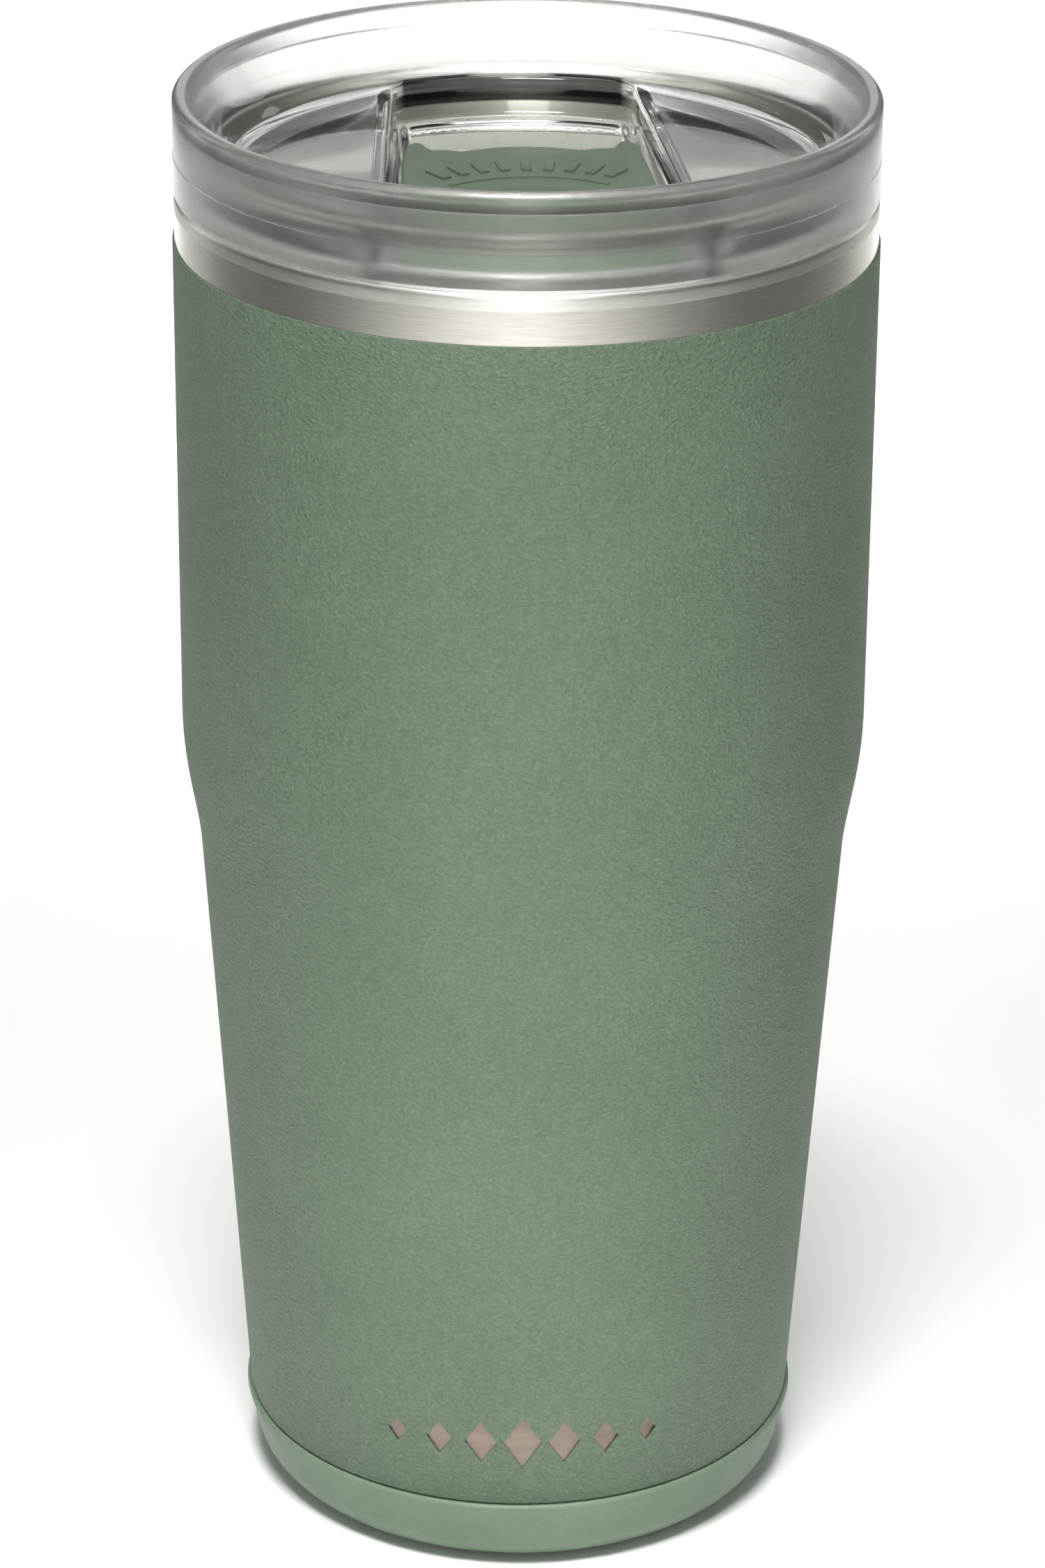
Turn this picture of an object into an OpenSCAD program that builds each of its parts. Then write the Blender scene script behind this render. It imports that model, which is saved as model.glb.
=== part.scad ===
// Insulated tumbler: a double-wall steel cup on a soft boot, with a clear
// press-in lid whose closure slides back over the drinking slot.
// Millimetres. Origin at the centre of the base, +Z up.
// The emblem faces -Y and the drinking slot lies towards +Y.

/* [Cup] */
// Height of the steel cup, from the table to its lip
cup_h = 174.5; // [145:0.5:215]
// Outside diameter of the cup above its shoulder
body_d = 86.2; // [70:0.2:104]
// Outside diameter of the cup just above the boot
waist_d = 71.5; // [58:0.5:76]
// Slope of the lower wall, in mm of radius per mm of height
taper = 0.066; // [0.02:0.002:0.08]
// Height of the middle of the shoulder
shoulder_z = 98; // [80:1:118]
// Height over which the shoulder turns out
shoulder_h = 18; // [10:1:22]
// Height of the bare steel band at the mouth
bare_band_h = 6.1; // [3:0.1:12]

/* [Walls] */
// Thickness of the powder coat
coat_t = 0.25; // [0.1:0.05:0.4]
// Thickness of the outer steel wall
shell_t = 0.6; // [0.4:0.1:1]
// Thickness of the inner steel wall
liner_t = 0.5; // [0.4:0.1:0.8]
// Vacuum gap between the two walls
vacuum_gap = 2.4; // [1.5:0.1:4]
// Width of the welded lip at the mouth
lip_w = 2.25; // [1.8:0.05:3]
// Depth of the straight mouth that the lid plugs into
mouth_h = 15; // [13:0.5:22]
// Radius inside the cup where wall meets floor
floor_corner = 10; // [4:0.5:16]
// Height of the drinking floor above the table
floor_z = 9.2; // [8:0.1:14]

/* [Base] */
// Height of the soft boot
boot_h = 10; // [8:0.5:16]
// Thickness of the boot under the cup
boot_floor = 2.2; // [1.5:0.1:3]
// Thickness of the boot around the cup
boot_wall = 1.6; // [1.2:0.1:2.5]
// How far the boot stands out past the painted wall
boot_proud = 0.5; // [0:0.1:1]
// Radius of the boot's bottom edge
boot_corner = 5.5; // [3:0.5:6]
// Depth of the recess under the boot
boot_recess = 0.6; // [0.2:0.1:1]
// Thickness of the welded base cap
cap_t = 0.7; // [0.5:0.1:1]
// Radius of the evacuation port in the base cap
port_r = 1.2; // [0.8:0.1:2]
// Radius of the getter pellet
getter_r = 4; // [3:0.5:6]
// Height of the getter pellet
getter_h = 1.6; // [1:0.1:2]
// Distance of the getter pellet from the cup's axis
getter_x = 16; // [12:1:18]

/* [Emblem] */
// Height of the emblem's middle above the table
emblem_z = 19.5; // [16:0.5:40]
// Height of its largest diamond
emblem_h = 7.6; // [4:0.2:10]
// Distance from one diamond to the next
emblem_pitch = 5.3; // [4:0.1:7]
// Diamonds on each side of the middle one
emblem_side = 3; // [0:1:4]
// How far round the cup the emblem stands from the lid's front, in degrees
emblem_turn = -2.5; // [-180:0.5:180]

/* [Lid] */
// Height of the lid above the steel lip
lid_rise = 12; // [9:0.5:16]
// Depth of the lid's floor below its top edge
bowl_depth = 8.5; // [7:0.1:9]
// Thickness of the lid's floor
lid_floor_t = 2; // [1.5:0.1:3]
// Thickness of the lid's outer wall
lid_wall = 1.6; // [1.2:0.1:2]
// Width of the lid's rounded top edge
lip_round = 2.1; // [1.8:0.1:3]
// Thickness of the plug skirt
skirt_t = 1.8; // [1.5:0.1:2.5]
// Depth of the plug skirt below the steel lip
skirt_h = 10; // [8:0.5:12]
// Gap between the plug skirt and the mouth
skirt_gap = 0.7; // [0.5:0.1:1.2]
// Height of the gasket
gasket_h = 3.2; // [2.5:0.1:4]
// Depth of the gasket's groove
groove_t = 0.9; // [0.6:0.1:1.2]
// Gap between the gasket's fins and the mouth
gasket_gap = 0.3; // [0.25:0.05:0.5]

/* [Track] */
// Depth of the track below the lid's floor
track_depth = 4.4; // [3.6:0.1:6]
// Thickness of the track's floor
track_floor_t = 1.3; // [1:0.1:2]
// Thickness of the track's side walls
track_wall = 2.2; // [1.5:0.1:3]
// Width of the straight guide channel along the track's floor
guide_w = 29.9; // [24:0.1:36]
// Height of the guide channel
guide_h = 1.3; // [1.2:0.1:1.8]
// Width of the ledge above the channel, at the track's back end
ledge_w = 0.45; // [0.3:0.05:1]
// How fast the track widens towards the front, in mm per mm
track_splay = 0.057; // [0:0.003:0.06]
// Width of the floor left on each side of the drinking slot
slot_margin = 1.75; // [1.6:0.05:5]
// Length of the drinking slot
slot_l = 12.6; // [7:0.1:15]

/* [Slider] */
// How far the slider travels to close the slot
travel = 17.7; // [14.5:0.1:18.5]
// Thickness of the slider's top plate
plate_t = 1; // [0.8:0.1:1.6]
// How far the top plate laps over each ledge at its front
plate_lap = 0.75; // [0.4:0.05:1]
// Side clearance between slider and guides
guide_gap = 0.15; // [0.1:0.05:0.3]
// Height of the slider's underside above the track's floor
ride_h = 0.15; // [0.1:0.05:0.2]
// Gap between the soft seal and the track's floor
seal_gap = 0.05; // [0.02:0.01:0.1]
// Thickness of the soft seal
seal_t = 0.55; // [0.4:0.05:0.6]
// Radius of the thumb dimple
dimple_r = 9.6; // [6:0.2:11]
// Depth of the thumb dimple
dimple_depth = 0.5; // [0.2:0.1:0.8]

/* [Hidden] */
$fn = 96;

far = 60;                                   // reaches past the body on every side
body_r = body_d / 2;
waist_r = waist_d / 2;
coat_top = cup_h - bare_band_h;
coat_bottom = boot_h + 0.2;
shoulder_steps = 12;

// Mouth and lip
lip_r = body_r - coat_t;                    // outside of the bare steel band
mouth_r = lip_r - lip_w;                    // inside of the mouth
lip_edge = 0.7;                             // rounding of the lip
lip_h = 1.9;                                // height of the welded ring
shell_top = cup_h - lip_h;
wall_all = coat_t + shell_t + vacuum_gap + liner_t;

// Base
seat_top_r = waist_r + boot_proud - boot_wall;
seat_low_r = seat_top_r - 1.45;
seat_low_z = boot_floor + 3;
cap_r = seat_low_r - shell_t;
cap_rim_h = 2.6;
port_dish_r = 6;                            // dished middle of the base cap
port_dish_h = 0.8;
boot_low_r = waist_r - 0.65;                // boot radius above its bottom edge
boot_recess_r = 24;

// Lid
lid_r = body_r - 0.2;
lid_top = cup_h + lid_rise;
bowl_z = lid_top - bowl_depth;              // top of the lid's floor
skirt_r = mouth_r - skirt_gap;
skirt_bottom = cup_h - skirt_h;
groove_z = skirt_bottom + 2;
bowl_r = skirt_r - lid_wall;                // foot of the bowl's sloping wall
ledge_r = bowl_r - 2;
lid_floor_r = ledge_r - 1;
fin_r = mouth_r - gasket_gap;

// Track and slider; widths from here on are half widths
guide_x = guide_w / 2;
track_back_x = guide_x + ledge_w;
slot_x = guide_x - slot_margin;
plate_x = guide_x + plate_lap;
horn_r = 1.4;
horn_x = guide_x - horn_r - 0.35;
track_z = bowl_z - track_depth;
guide_top = track_z + guide_h;
track_top_r = lid_floor_r - 0.1;
track_back_r = track_top_r - 2.2;           // foot of the track's back wall
track_front_r = track_top_r - 0.5;
slot_back_r = track_back_r - 2.4;
slot_front_y = slot_back_r - slot_l;
groove_x = guide_x + 0.65;
groove_h = 0.8;
groove_back_y = track_back_r - 9.8;
carrier_r = track_back_r - 0.8;
seal_r = slot_back_r + 1;
seal_x = slot_x + 0.9;
carrier_x = guide_x - guide_gap;
carrier_z = track_z + ride_h;
carrier_lip_z = carrier_z + 0.75;
plate_z = guide_top + 0.1;
plate_top = plate_z + plate_t;
plate_front_r = track_front_r - 0.3;
plate_back_y = track_back_r - 4.1 - travel; // middle of the plate's back edge
horn_reach = track_back_r + (track_top_r - track_back_r) * (plate_z - track_z) / track_depth
             - 0.3 - horn_r;                // from the lid's axis, with the slider closed
horn_y = sqrt(pow(horn_reach, 2) - pow(horn_x, 2)) - travel;
dimple_y = (plate_back_y - plate_front_r) / 2 - 4.9;

// Radius of the painted wall at height z: a cone below, a cylinder above,
// and an S-curve between them
function low_r(z) = waist_r + taper * (z - boot_h);
function ease(t) = t * t * (3 - 2 * t);
function rise(z) = ease(min(1, max(0, (z - shoulder_z) / shoulder_h + 0.5)));
function wall_r(z) = low_r(z) + (body_r - low_r(z)) * rise(z);

// The wall from z0 up to z1, drawn in by inset
function shoulder_at(i) = shoulder_z + shoulder_h * (i / shoulder_steps - 0.5);
function wall_side(inset, z0, z1) = [
    for (z = concat([z0], [for (i = [0:shoulder_steps]) shoulder_at(i)], [z1]))
        [wall_r(z) - inset, z]
];
function reversed(list) = [for (i = [len(list) - 1:-1:0]) list[i]];
function arc(x, z, r, from, to, steps = 6) = [
    for (i = [0:steps])
        [x + r * cos(from + (to - from) * i / steps),
         z + r * sin(from + (to - from) * i / steps)]
];

module turned(points) {
    rotate_extrude() polygon(points);
}

// ---- Cup ----

module diamond(h) {
    polygon([[0, -h / 2], [h / 3, 0], [0, h / 2], [-h / 3, 0]]);
}

// Diamonds that shrink towards both ends, bared through the coat
module emblem_cut() {
    rotate(emblem_turn)
        for (i = [-emblem_side:emblem_side])
            translate([i * emblem_pitch, 0, emblem_z])
                rotate([90, 0, 0])
                    linear_extrude(far)
                        diamond(emblem_h * (1 - 0.18 * abs(i)));
}

module powder_coat() {
    color("#83967f")
        difference() {
            turned(concat(wall_side(0, coat_bottom, coat_top),
                          reversed(wall_side(coat_t, coat_bottom, coat_top))));
            emblem_cut();
        }
}

module outer_shell() {
    inner = coat_t + shell_t;
    color("#b9b6ae")
        turned(concat([[seat_low_r, boot_floor], [seat_low_r, seat_low_z],
                       [seat_top_r, boot_h]],
                      wall_side(coat_t, coat_bottom, shell_top),
                      reversed(wall_side(inner, coat_bottom, shell_top)),
                      [[seat_top_r - shell_t, boot_h],
                       [cap_r, seat_low_z], [cap_r, boot_floor]]));
}

module inner_liner() {
    outer = wall_all - liner_t;
    bend_z = floor_z + floor_corner;
    bend_x = wall_r(bend_z) - wall_all - floor_corner;
    mouth_z = cup_h - mouth_h;
    neck_z = mouth_z - 4;
    under_r = mouth_r + liner_t;
    color("#c6c4bd")
        turned(concat([[0, floor_z]],
                      arc(bend_x, bend_z, floor_corner, -90, 0),
                      wall_side(wall_all, bend_z + 1, neck_z),
                      [[mouth_r, mouth_z]],
                      arc(mouth_r + lip_edge, cup_h - lip_edge, lip_edge, 180, 90),
                      arc(lip_r - lip_edge, cup_h - lip_edge, lip_edge, 90, 0),
                      [[lip_r, shell_top], [under_r, shell_top], [under_r, mouth_z]],
                      reversed(wall_side(outer, bend_z + 1, neck_z)),
                      arc(bend_x, bend_z, floor_corner + liner_t, 0, -90),
                      [[0, floor_z - liner_t]]));
}

// Pressed cap: a rim welded inside the shell and a dished middle with the port
module base_cap() {
    dish_z = boot_floor + port_dish_h;
    color("#aaa79f")
        turned([[port_r, dish_z], [port_dish_r, dish_z],
                [port_dish_r + 2, boot_floor], [cap_r, boot_floor],
                [cap_r, boot_floor + cap_rim_h],
                [cap_r - cap_t, boot_floor + cap_rim_h],
                [cap_r - cap_t, boot_floor + cap_t],
                [port_dish_r + 2, boot_floor + cap_t],
                [port_dish_r, dish_z + cap_t], [port_r, dish_z + cap_t]]);
}

// Glass bead that was melted into the port to hold the vacuum
module port_seal() {
    dish_z = boot_floor + port_dish_h;
    color("#6d6a63")
        union() {
            translate([0, 0, dish_z]) cylinder(h = cap_t, r = port_r);
            translate([0, 0, dish_z - 0.4]) cylinder(h = 0.4, r = port_r + 1);
        }
}

module getter_pellet() {
    color("#4c4b49")
        translate([getter_x, 0, boot_floor + cap_t])
            cylinder(h = getter_h, r = getter_r);
}

// Strap over the pellet, spot-welded to the base cap at both feet
module getter_clip() {
    strap_t = 0.3;
    strap_w = 3;
    foot_l = 2.5;
    reach = getter_r + strap_t;
    base_z = boot_floor + cap_t;
    color("#c0bdb5")
        translate([getter_x, 0, base_z])
            union() {
                translate([-strap_w / 2, -reach, getter_h])
                    cube([strap_w, 2 * reach, strap_t]);
                for (side = [-1, 1])
                    mirror([0, side < 0 ? 1 : 0, 0]) {
                        translate([-strap_w / 2, getter_r, 0])
                            cube([strap_w, strap_t, getter_h + strap_t]);
                        translate([-strap_w / 2, getter_r, 0])
                            cube([strap_w, foot_l, strap_t]);
                    }
            }
}

module base_boot() {
    rim_r = waist_r + boot_proud;
    edge = 0.5;
    color("#7b8d78")
        turned(concat([[0, boot_recess], [boot_recess_r, boot_recess],
                       [boot_recess_r + 0.6, 0]],
                      arc(boot_low_r - boot_corner, boot_corner, boot_corner, -90, 0),
                      arc(rim_r - edge, boot_h - edge, edge, 0, 90, 3),
                      [[seat_top_r, boot_h], [seat_low_r, seat_low_z],
                       [seat_low_r, boot_floor], [0, boot_floor]]));
}

// ---- Lid ----

// Plan of the track: it widens towards the front and is cut off at its back corners
module track_plan(grow = 0) {
    back_y = track_back_r - 6.5;
    back_x = track_back_x + grow;
    front_x = back_x + track_splay * (back_y + track_front_r);
    corner = 2.6;
    polygon([[-front_x, -far], [front_x, -far], [front_x, -track_front_r],
             [back_x, back_y], [back_x - corner, far],
             [corner - back_x, far], [-back_x, back_y],
             [-front_x, -track_front_r]]);
}

module half(front) {
    translate([-far, front ? -2 * far : 0, -far]) cube([2 * far, 2 * far, 5 * far]);
}

// The round ends of the track: steep at the front, leaning back at the slot
module track_ends(z0, z1) {
    depth = bowl_z - track_z;
    for (end = [[track_front_r, true], [track_back_r, false]])
        intersection() {
            translate([0, 0, track_z])
                cylinder(h = depth, r1 = end[0], r2 = track_top_r);
            translate([0, 0, z0 - track_z]) half(end[1]);
            translate([-far, -far, z0]) cube([2 * far, 2 * far, z1 - z0]);
        }
}

module track_cut() {
    intersection() {
        track_ends(guide_top, bowl_z);
        translate([0, 0, guide_top]) linear_extrude(bowl_z) track_plan();
    }
    intersection() {
        track_ends(track_z, bowl_z);
        translate([-guide_x, -far, track_z]) cube([guide_w, 2 * far, track_depth]);
    }
}

// Undercuts that hold the slider's rails down
module rail_grooves() {
    front_y = -sqrt(pow(track_front_r, 2) - pow(groove_x, 2));
    translate([-groove_x, front_y, track_z])
        cube([2 * groove_x, groove_back_y - front_y, groove_h]);
}

module drinking_slot() {
    intersection() {
        translate([0, 0, track_z - 2 * track_floor_t])
            cylinder(h = 3 * track_floor_t, r = slot_back_r);
        translate([-slot_x, slot_front_y, track_z - far])
            cube([2 * slot_x, far, 2 * far]);
    }
}

module lid_profile() {
    wedge_r = lid_r - lid_wall;
    lip_x = lid_r - lip_round / 2;
    lip_z = lid_top - lip_round / 2;
    edge = 0.4;
    turned(concat([[lid_r - edge, cup_h], [lid_r, cup_h + edge]],
                  arc(lip_x, lip_z, lip_round / 2, 0, 180, 8),
                  [[bowl_r, bowl_z + 3], [ledge_r, bowl_z + 0.5],
                   [lid_floor_r, bowl_z], [0, bowl_z], [0, bowl_z - lid_floor_t],
                   [skirt_r - skirt_t, bowl_z - lid_floor_t],
                   [skirt_r - skirt_t, skirt_bottom], [skirt_r, skirt_bottom],
                   [skirt_r, groove_z], [skirt_r - groove_t, groove_z],
                   [skirt_r - groove_t, groove_z + gasket_h],
                   [skirt_r, groove_z + gasket_h], [skirt_r, bowl_z + 2.5],
                   [wedge_r, lid_top - 2.5], [wedge_r, cup_h]]));
}

module lid_body() {
    block_z = track_z - track_floor_t;
    color("#dfe3df", 0.45)
        difference() {
            union() {
                lid_profile();
                intersection() {
                    translate([0, 0, block_z])
                        cylinder(h = bowl_z - 1 - block_z, r = track_front_r + 1.5);
                    translate([0, 0, block_z])
                        linear_extrude(far) track_plan(track_wall);
                }
            }
            track_cut();
            rail_grooves();
            drinking_slot();
        }
}

module lid_gasket() {
    back_r = skirt_r - groove_t;
    fin = gasket_h / 5;
    color("#3c3f3c")
        turned([[back_r, groove_z], [skirt_r, groove_z],
                [fin_r, groove_z + fin], [fin_r, groove_z + 1.4 * fin],
                [skirt_r, groove_z + 2 * fin], [skirt_r, groove_z + 3 * fin],
                [fin_r, groove_z + 4 * fin], [fin_r, groove_z + 4.4 * fin],
                [skirt_r, groove_z + gasket_h], [back_r, groove_z + gasket_h]]);
}

// ---- Slider ----

// Top plate: round front, straight sides, a bowed back edge and two horns
module plate_plan() {
    back_arc = 30;
    side_x = horn_x + horn_r;
    mid_x = plate_x - 0.4;
    mid_y = plate_back_y - 17;
    intersection() {
        circle(r = plate_front_r);
        polygon([[-plate_x, -far], [plate_x, -far], [plate_x, -plate_front_r],
                 [mid_x, mid_y], [side_x, horn_y], [-side_x, horn_y],
                 [-mid_x, mid_y], [-plate_x, -plate_front_r]]);
        translate([0, plate_back_y - back_arc]) circle(r = back_arc);
    }
    for (side = [-1, 1]) {
        translate([side * horn_x, horn_y]) circle(r = horn_r);
        translate([side * horn_x - horn_r, horn_y - 8]) square([2 * horn_r, 8]);
    }
}

// Outline under the plate, its back edge round about the lid's axis when closed
module under_plan(half_w, r, front_y) {
    intersection() {
        translate([-half_w, front_y]) square([2 * half_w, far - front_y]);
        translate([0, -travel]) circle(r = r);
        circle(r = plate_front_r);
    }
}

module slider_plate() {
    rail_x = groove_x - guide_gap;
    rail_front = -sqrt(pow(plate_front_r, 2) - pow(rail_x, 2));
    rail_back = groove_back_y - travel - 0.8;
    dish_r = (pow(dimple_r, 2) + pow(dimple_depth, 2)) / (2 * dimple_depth);
    color("#75856f")
        difference() {
            union() {
                translate([0, 0, plate_z]) linear_extrude(plate_t) plate_plan();
                translate([0, 0, carrier_lip_z])
                    linear_extrude(plate_z - carrier_lip_z)
                        intersection() {
                            plate_plan();
                            under_plan(carrier_x, carrier_r, -far);
                        }
                translate([0, 0, carrier_z])
                    linear_extrude(carrier_lip_z - carrier_z)
                        under_plan(carrier_x, carrier_r, -far);
                translate([-rail_x, rail_front, carrier_z])
                    cube([2 * rail_x, rail_back - rail_front, groove_h - 2 * ride_h]);
            }
            translate([0, 0, carrier_z - 1])
                linear_extrude(1 + seal_t - ride_h + seal_gap) seal_plan();
            translate([0, dimple_y, plate_top - dimple_depth + dish_r])
                sphere(r = dish_r);
        }
}

module seal_plan() {
    under_plan(seal_x, seal_r, slot_front_y - travel - 2);
}

module slider_seal() {
    color("#d8d8d2")
        translate([0, 0, track_z + seal_gap]) linear_extrude(seal_t) seal_plan();
}

powder_coat();
outer_shell();
inner_liner();
base_cap();
port_seal();
getter_pellet();
getter_clip();
base_boot();
lid_body();
lid_gasket();
slider_plate();
slider_seal();
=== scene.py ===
import math
import bpy
from mathutils import Matrix, Vector


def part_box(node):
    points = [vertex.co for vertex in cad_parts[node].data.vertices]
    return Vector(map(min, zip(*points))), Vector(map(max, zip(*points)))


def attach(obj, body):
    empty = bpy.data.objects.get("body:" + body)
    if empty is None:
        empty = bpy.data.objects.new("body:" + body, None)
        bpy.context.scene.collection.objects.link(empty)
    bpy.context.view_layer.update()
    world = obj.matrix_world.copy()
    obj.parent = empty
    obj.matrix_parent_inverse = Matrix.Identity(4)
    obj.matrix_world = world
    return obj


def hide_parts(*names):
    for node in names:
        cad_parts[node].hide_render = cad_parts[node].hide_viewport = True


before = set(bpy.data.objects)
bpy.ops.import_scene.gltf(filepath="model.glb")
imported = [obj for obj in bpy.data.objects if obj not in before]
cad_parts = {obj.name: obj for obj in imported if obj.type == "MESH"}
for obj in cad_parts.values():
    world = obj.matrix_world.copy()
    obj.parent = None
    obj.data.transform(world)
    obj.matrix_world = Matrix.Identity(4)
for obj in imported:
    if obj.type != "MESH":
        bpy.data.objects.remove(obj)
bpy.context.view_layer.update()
mm = 0.001
weld = 0.002 * mm      # points closer than this are one point
print("frame loaded:", len(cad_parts), "CAD nodes")


def boxOf(node):
    # lowest and highest corners of a node, in mm
    low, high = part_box(node)
    return low / mm, high / mm


coatLow, coatHigh = boxOf("powder_coat")
shellLow, shellHigh = boxOf("outer_shell")
linerLow, linerHigh = boxOf("inner_liner")
bootHigh = boxOf("base_boot")[1]
lidLow, lidHigh = boxOf("lid_body")
gasketLow, gasketHigh = boxOf("lid_gasket")
sliderLow, sliderHigh = boxOf("slider_plate")
sealLow, sealHigh = boxOf("slider_seal")
cupTop = linerHigh.z
lidTop = lidHigh.z
bowlDeep = 8.5
trackDeep = 4.4
bowlFloor = lidTop - bowlDeep          # top of the lid's flat floor
trackFloor = bowlFloor - trackDeep     # what the slider runs on


def deselectAll():
    if bpy.context.object and bpy.context.object.mode != "OBJECT":
        bpy.ops.object.mode_set(mode="OBJECT")
    bpy.ops.object.select_all(action="DESELECT")


def makeActive(piece):
    deselectAll()
    piece.select_set(True)
    bpy.context.view_layer.objects.active = piece


def selectPoints(piece, wanted):
    # picks vertices by place, in mm, and goes back into edit mode
    bpy.ops.object.mode_set(mode="EDIT")
    bpy.ops.mesh.select_mode(type="VERT")
    bpy.ops.mesh.select_all(action="DESELECT")
    bpy.ops.object.mode_set(mode="OBJECT")
    for vertex in piece.data.vertices:
        vertex.select = bool(wanted(vertex.co / mm))
    bpy.ops.object.mode_set(mode="EDIT")


def drawLine(points):
    # one vertex, extruded from point to point; the points are in mm
    here = Vector(points[0]) * mm
    bpy.ops.mesh.primitive_plane_add(size=0.001, location=here)
    bpy.ops.mesh.merge(type="CENTER")
    for point in points[1:]:
        there = Vector(point) * mm
        bpy.ops.mesh.extrude_vertices_move(TRANSFORM_OT_translate={"value": there - here})
        here = there


def startPiece(name):
    deselectAll()
    bpy.ops.mesh.primitive_plane_add(size=0.001)
    piece = bpy.context.object
    piece.name = name
    piece.data.name = name
    bpy.ops.object.mode_set(mode="EDIT")
    bpy.ops.mesh.select_all(action="SELECT")
    bpy.ops.mesh.delete(type="VERT")
    return piece


def closeMesh():
    bpy.ops.mesh.select_all(action="SELECT")
    bpy.ops.mesh.remove_doubles(threshold=weld)
    bpy.ops.mesh.normals_make_consistent(inside=False)
    bpy.ops.object.mode_set(mode="OBJECT")


def turnedPiece(name, section, steps=256):
    # a closed half section (radius, height), spun round the cup's axis
    piece = startPiece(name)
    drawLine([(r, 0, z) for r, z in section + section[:1]])
    bpy.ops.mesh.select_all(action="SELECT")
    bpy.ops.mesh.spin(steps=steps, angle=2 * math.pi, center=(0, 0, 0), axis=(0, 0, 1))
    closeMesh()
    return piece


def loftedPiece(name, loops):
    # closed outlines at rising heights, bridged in turn and capped
    piece = startPiece(name)
    for height, outline in loops:
        bpy.ops.mesh.select_all(action="DESELECT")
        drawLine([(x, y, height) for x, y in outline + outline[:1]])
    bpy.ops.mesh.select_all(action="SELECT")
    bpy.ops.mesh.remove_doubles(threshold=weld)
    bpy.ops.object.mode_set(mode="OBJECT")
    heights = [height for height, outline in loops]
    for low, high in zip(heights, heights[1:]):
        selectPoints(piece, lambda p: min(abs(p.z - low), abs(p.z - high)) < 0.001)
        bpy.ops.mesh.bridge_edge_loops()
        bpy.ops.object.mode_set(mode="OBJECT")
    for end in (heights[0], heights[-1]):
        selectPoints(piece, lambda p: abs(p.z - end) < 0.001)
        bpy.ops.mesh.edge_face_add()
        bpy.ops.object.mode_set(mode="OBJECT")
    bpy.ops.object.mode_set(mode="EDIT")
    closeMesh()
    return piece


def combine(piece, tool, how):
    # boolean with the tool, which is used up
    makeActive(piece)
    cut = piece.modifiers.new(how.lower(), "BOOLEAN")
    cut.operation = how
    cut.solver = "EXACT"
    cut.object = tool
    bpy.ops.object.modifier_apply(modifier=cut.name)
    bpy.data.objects.remove(tool)


def smoothPiece(piece, angle=35):
    makeActive(piece)
    bpy.ops.object.transform_apply(location=True, rotation=True, scale=True)
    bpy.ops.object.shade_smooth_by_angle(angle=math.radians(angle))


def arcPoints(x, y, radius, start, end, steps=8):
    return [(x + radius * math.cos(math.radians(start + (end - start) * i / steps)),
             y + radius * math.sin(math.radians(start + (end - start) * i / steps)))
            for i in range(steps + 1)]


def smoothLine(points, steps=4):
    # a curve through the points, eased from one to the next
    out = []
    for i in range(len(points) - 1):
        p0, p1 = points[max(i - 1, 0)], points[i]
        p2, p3 = points[i + 1], points[min(i + 2, len(points) - 1)]
        for k in range(steps):
            t = k / steps
            out.append(tuple(
                0.5 * (2 * b + (c - a) * t + (2 * a - 5 * b + 4 * c - d) * t ** 2
                       + (3 * b - a - 3 * c + d) * t ** 3)
                for a, b, c, d in zip(p0, p1, p2, p3)))
    return out + [points[-1]]


def mirrored(rightSide):
    # a right-hand outline from front centre to back centre, closed round the left
    left = [(-x, y) for x, y in reversed(rightSide) if x > 0.01]
    return rightSide + left


def colour(hexCode):
    # sRGB hex to linear, as shader sockets take it
    parts = [int(hexCode[i:i + 2], 16) / 255 for i in (1, 3, 5)]
    linear = [c / 12.92 if c <= 0.04045 else ((c + 0.055) / 1.055) ** 2.4 for c in parts]
    return (*linear, 1.0)


def perMm(size):
    # texture scale, per metre, for a pattern that repeats every so many mm
    return 1 / (size * mm)


def addNode(tree, kind, settings=None, links=None):
    # settings go to inputs or properties, and stops to a colour ramp; links are other nodes' outputs
    node = tree.nodes.new(kind)
    for key, value in (settings or {}).items():
        if key == "stops":
            for element, (spot, shade) in zip(node.color_ramp.elements, value):
                element.position = spot
                element.color = colour(shade)
        elif isinstance(key, int) or key in node.inputs:
            node.inputs[key].default_value = value
        else:
            setattr(node, key, value)
    for key, source in (links or {}).items():
        tree.links.new(source, node.inputs[key])
    return node


def newMaterial(name):
    material = bpy.data.materials.new(name)
    material.use_nodes = True
    tree = material.node_tree
    tree.nodes.clear()
    return material, tree


def roundTheCup(tree, along, up):
    # coordinates that run round the axis and up it, for turned and brushed marks
    place = addNode(tree, "ShaderNodeTexCoord").outputs["Object"]
    parts = addNode(tree, "ShaderNodeSeparateXYZ", links={"Vector": place}).outputs
    angle = addNode(tree, "ShaderNodeMath", {"operation": "ARCTAN2"},
                    {0: parts["Y"], 1: parts["X"]}).outputs[0]
    turn = addNode(tree, "ShaderNodeMath", {"operation": "MULTIPLY", 1: along}, {0: angle}).outputs[0]
    rise = addNode(tree, "ShaderNodeMath", {"operation": "MULTIPLY", 1: up}, {0: parts["Z"]}).outputs[0]
    return addNode(tree, "ShaderNodeCombineXYZ", links={"X": turn, "Y": rise}).outputs[0]


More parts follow.
